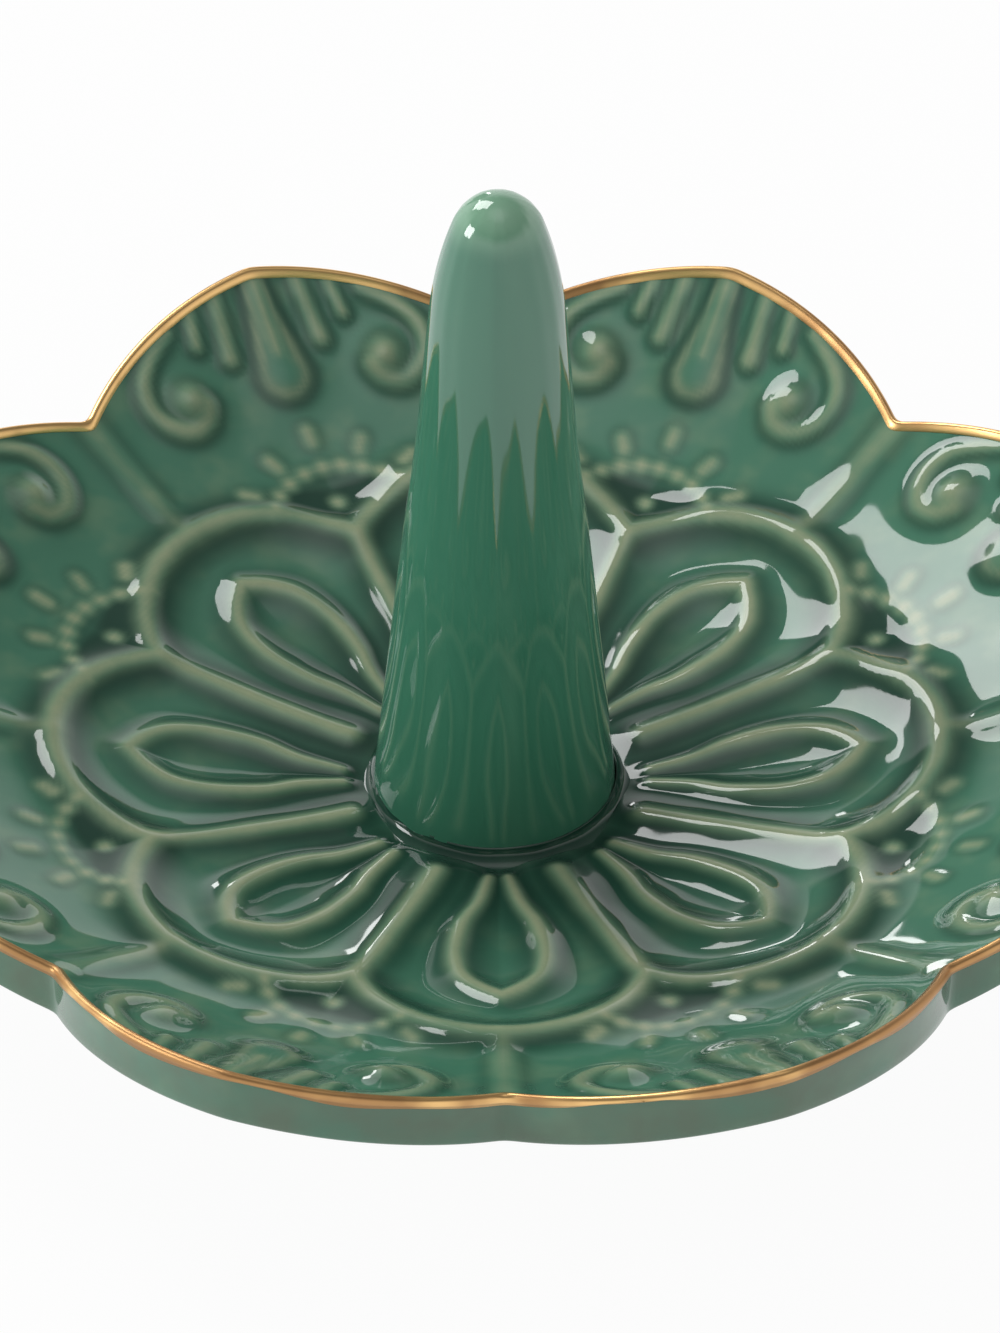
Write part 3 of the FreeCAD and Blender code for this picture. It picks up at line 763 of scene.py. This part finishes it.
def makeConeSeam():
    piece = seamPiece
    theta = np.linspace(0, 2 * pi, piece["segments"], endpoint=False)
    reach = piece["reach"] + handMade(theta, *piece["reachWander"])
    rise = piece["rise"] + handMade(theta, *piece["riseWander"])
    rings = [ringAt(piece["inner"], bowlHeight(piece["baseRadius"]) - piece["sunk"], theta),
             ringAt(reach, bowlHeight(reach) - piece["sunk"], theta)]
    for share in np.linspace(0, 1, piece["rings"]):
        hollow = 1 - cos(share * pi / 2)
        climb = sin(share * pi / 2)
        r = reach - (reach - piece["inner"]) * climb
        rings.append(ringAt(r, bowlHeight(r) + piece["film"] + rise * hollow, theta))
    seam = gridObject("pooledSeam", rings, True)
    seam.data.materials.append(glazeFinish("seamGlaze", pooledGlaze))
    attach(seam, "root")
    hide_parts("cone_seam")
    print("seam:", len(seam.data.polygons), "faces")


# gold lustre along the rim

goldPiece = {
    "segments": 1440,
    "innerEdge": 0.26,           # how far in past the lip the brush reached
    "outerEdge": 0.34,           # how far down the outside it ran
    # unevenness of the two edges: seed, waves in one turn, size
    "innerWander": (51, (3, 7, 12, 19, 31), 0.09),
    "outerWander": (57, (3, 5, 9, 14, 22, 37), 0.18),
    "skin": 0.12,
    "inset": 0.01,
    "outerTaper": 0.02,          # the band thins by this at its lower edge
    "innerLift": 0.05,           # and stands this far off the glaze at its inner edge
    "faceRings": 10,
    "backRings": 4,
    # where the lustre is worn brown, and where a painted highlight keeps it bright (negative amounts):
    # degrees round from +X, spread, amount
    "wear": [(-108, 9, 0.2), (-60, 12, 0.16), (111, 12, -0.2), (137, 10, -0.2), (-128, 6, -0.15)],
}


def makeGoldRim():
    piece = goldPiece
    theta = np.linspace(0, 2 * pi, piece["segments"], endpoint=False)
    outline = rimOutline(theta) - piece["inset"]
    crest = bowlHeight(outline)
    lip = dishPiece["lipRadius"]
    lipTurn = radians(dishPiece["lipTurn"])
    inner = piece["innerEdge"] + handMade(theta, *piece["innerWander"])
    outer = piece["outerEdge"] + handMade(theta, *piece["outerWander"])
    skin = piece["skin"]
    rings = [ringAt(outline - skin, crest - lip - outer, theta),
             ringAt(outline - piece["outerTaper"], crest - lip - outer, theta)]
    for angle in np.linspace(0, lipTurn, piece["faceRings"]):
        rings.append(ringAt(*lipPoint(outline, crest, lip, angle), theta))
    reach = outline - 2 * lip - inner
    rings.append(ringAt(reach, bowlHeight(reach) + piece["innerLift"], theta))
    rings.append(ringAt(reach, bowlHeight(reach) - skin, theta))
    for angle in np.linspace(lipTurn, 0, piece["backRings"]):
        rings.append(ringAt(*lipPoint(outline, crest, lip - skin, angle), theta))
    gold = gridObject("goldRim", rings, True)
    # wear painted as brown gold, and painted highlights as brighter gold, by angle round the rim
    wear = 0 * theta
    for middle, spread, amount in piece["wear"]:
        away = np.angle(np.exp(1j * (theta - radians(middle))))
        wear = wear + amount * softHill(away, radians(spread))
    paintPoints(gold, "wear", np.stack([wear for ring in rings]))
    gold.data.materials.append(goldFinish())
    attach(gold, "root")
    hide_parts("gold_rim")
    print("gold:", len(gold.data.polygons), "faces")


goldLook = {
    "bright": (0.92, 0.58, 0.24, 1),
    "brown": (0.40, 0.21, 0.09, 1),
    "gloss": 0.28,
    # patches of wear and brush marks: scale, detail, roughness
    "patch": (130.0, 2.0, 0.5),
    "brush": (600.0, 1.0, 0.4),
    "brushBreaks": 0.15,
    "dulledFrom": (0.36, 0.62),
    "dulledCover": 0.85,
    "dulledRough": 0.15,
}


def goldFinish():
    finish = Finish(bpy.data.materials.new("goldLustre"))
    patch = finish.noise(*goldLook["patch"])
    brush = finish.noise(*goldLook["brush"]) - noiseMiddle
    # random wear and brush marks, with the painted wear and painted highlights added
    wear = patch + finish.painted("wear") + brush * goldLook["brushBreaks"]
    dulled = finish.smoothStep(wear, *goldLook["dulledFrom"])
    colour = finish.colourMix(dulled * goldLook["dulledCover"], goldLook["bright"], goldLook["brown"])
    rough = dulled * goldLook["dulledRough"] + goldLook["gloss"]
    sockets = {"Base Color": colour, "Roughness": rough, "Metallic": 1.0}
    return finish.output(finish.add("ShaderNodeBsdfPrincipled", {}, sockets))


# studio

studio = {
    "floorSize": 1.6,
    "floorDrop": 0.05,           # millimetres under the foot
    "floorColour": (0.9, 0.9, 0.9, 1),
    "white": (1, 1, 1, 1),
    "keepShadow": 0.045,         # share of the floor's own shading that stays in view
    # sky brightness by height: white low down, a dim room above it, brighter overhead
    "sky": [(0.0, 1.0), (0.28, 1.0), (0.58, 0.14), (0.8, 0.22), (0.92, 0.32), (1.0, 1.0)],
    # directions are degrees round from the back to the left, then degrees up
    # dark doorway: direction, radius all dark, radius of its soft edge, darkness
    "doorway": (20, 8, 11.5, 15.5, 0.88),
    "doorwayColour": (0, 0, 0, 1),
    # panels: direction, distance, width, height, roll, radiance
    "panels": [(34.5, 42.5, 1.2, 0.43, 0.65, 14, 6.5),
               (93, 20, 1.3, 0.36, 0.5, 0, 9.0),
               (8, 9, 1.2, 0.06, 0.22, 0, 6.5)],
    "panelAim": (0, 0, 0.015),
}


def directionTo(left, up):
    turn, climb = radians(left), radians(up)
    return Vector((-sin(turn) * cos(climb), cos(turn) * cos(climb), sin(climb)))


def makeFloor():
    size = studio["floorSize"]
    level = -studio["floorDrop"] * mm
    corners = [(-size, -size, level), (size, -size, level), (size, size, level), (-size, size, level)]
    mesh = bpy.data.meshes.new("floor")
    mesh.from_pydata(corners, [], [(0, 1, 2, 3)])
    floor = bpy.data.objects.new("floor", mesh)
    bpy.context.scene.collection.objects.link(floor)
    # white to the camera and in reflections, apart from a share that keeps the shadow
    finish = Finish(bpy.data.materials.new("whiteFloor"))
    camera = finish.add("ShaderNodeLightPath", {}, {}, "Is Camera Ray")
    glossy = finish.add("ShaderNodeLightPath", {}, {}, "Is Glossy Ray")
    clear = finish.add("ShaderNodeLightPath", {}, {}, "Is Transmission Ray")
    seen = camera.atLeast(glossy).atLeast(clear) * (1 - studio["keepShadow"])
    plain = finish.add("ShaderNodeBsdfDiffuse", {}, {"Color": studio["floorColour"]})
    white = finish.add("ShaderNodeEmission", {}, {"Color": studio["white"], "Strength": 1.0})
    mixed = finish.add("ShaderNodeMixShader", {}, {0: seen, 1: plain, 2: white})
    mesh.materials.append(finish.output(mixed))
    print("floor:", 2 * size, "m across")


def makeSky():
    sky = Finish(bpy.data.worlds.new("studioSky"))
    towards = sky.add("ShaderNodeTexCoord", {}, {}, "Generated")
    height = sky.add("ShaderNodeSeparateXYZ", {}, {"Vector": towards}, "Z")
    brightness = sky.add("ShaderNodeValToRGB", {"stops": studio["sky"]}, {"Fac": height})
    left, up, inner, outer, depth = studio["doorway"]
    sockets = {0: towards, 1: directionTo(left, up)}
    nearness = sky.add("ShaderNodeVectorMath", {"operation": "DOT_PRODUCT"}, sockets, "Value")
    dark = sky.smoothStep(nearness, cos(radians(outer)), cos(radians(inner))) * depth
    shade = sky.colourMix(dark, brightness, studio["doorwayColour"])
    light = sky.add("ShaderNodeBackground", {}, {"Color": shade})
    bpy.context.scene.world = sky.output(light, "ShaderNodeOutputWorld")
    print("sky:", len(studio["sky"]), "stops")


def makePanels():
    for number, (left, up, far, width, tall, roll, radiance) in enumerate(studio["panels"]):
        lamp = bpy.data.lights.new("panel%d" % number, "AREA")
        lamp.shape = "RECTANGLE"
        lamp.size = width
        lamp.size_y = tall
        lamp.energy = radiance * pi * width * tall
        holder = bpy.data.objects.new("panel%d" % number, lamp)
        bpy.context.scene.collection.objects.link(holder)
        towards = directionTo(left, up)
        holder.location = Vector(studio["panelAim"]) + towards * far
        turned = towards.to_track_quat("Z", "Y") @ Quaternion((0, 0, 1), radians(roll))
        holder.rotation_euler = turned.to_euler()
    print("panels:", len(studio["panels"]))


photoView = {
    "lens": 172.08,
    "sensor": 36.0,
    "clipStart": 0.01,
    "elevation": 39.63,
    "azimuth": -1.18,
    "roll": 0.69,
    "distance": 480.3,
    "target": (0.194, 0.0, 17.84),
}


def placeCamera():
    climb, turn = radians(photoView["elevation"]), radians(photoView["azimuth"])
    roll = radians(photoView["roll"])
    back = Vector((sin(turn) * cos(climb), -cos(turn) * cos(climb), sin(climb)))
    right = (-back).cross(Vector((0, 0, 1))).normalized()
    top = right.cross(-back)
    leanRight = right * cos(roll) + top * sin(roll)
    leanTop = top * cos(roll) - right * sin(roll)
    lens = bpy.data.cameras.new("photoCamera")
    lens.lens = photoView["lens"]
    lens.sensor_width = photoView["sensor"]
    lens.clip_start = photoView["clipStart"]
    camera = bpy.data.objects.new("photoCamera", lens)
    bpy.context.scene.collection.objects.link(camera)
    spot = (Vector(photoView["target"]) + back * photoView["distance"]) * mm
    turned = Matrix((leanRight, leanTop, back)).transposed().to_4x4()
    camera.matrix_world = Matrix.Translation(spot) @ turned
    bpy.context.scene.camera = camera
    print("camera:", photoView["distance"], "mm away")


makeDish()
makeRingCone()
makeConeSeam()
makeGoldRim()
makeFloor()
makeSky()
makePanels()
placeCamera()
bpy.context.scene.view_settings.view_transform = "Standard"
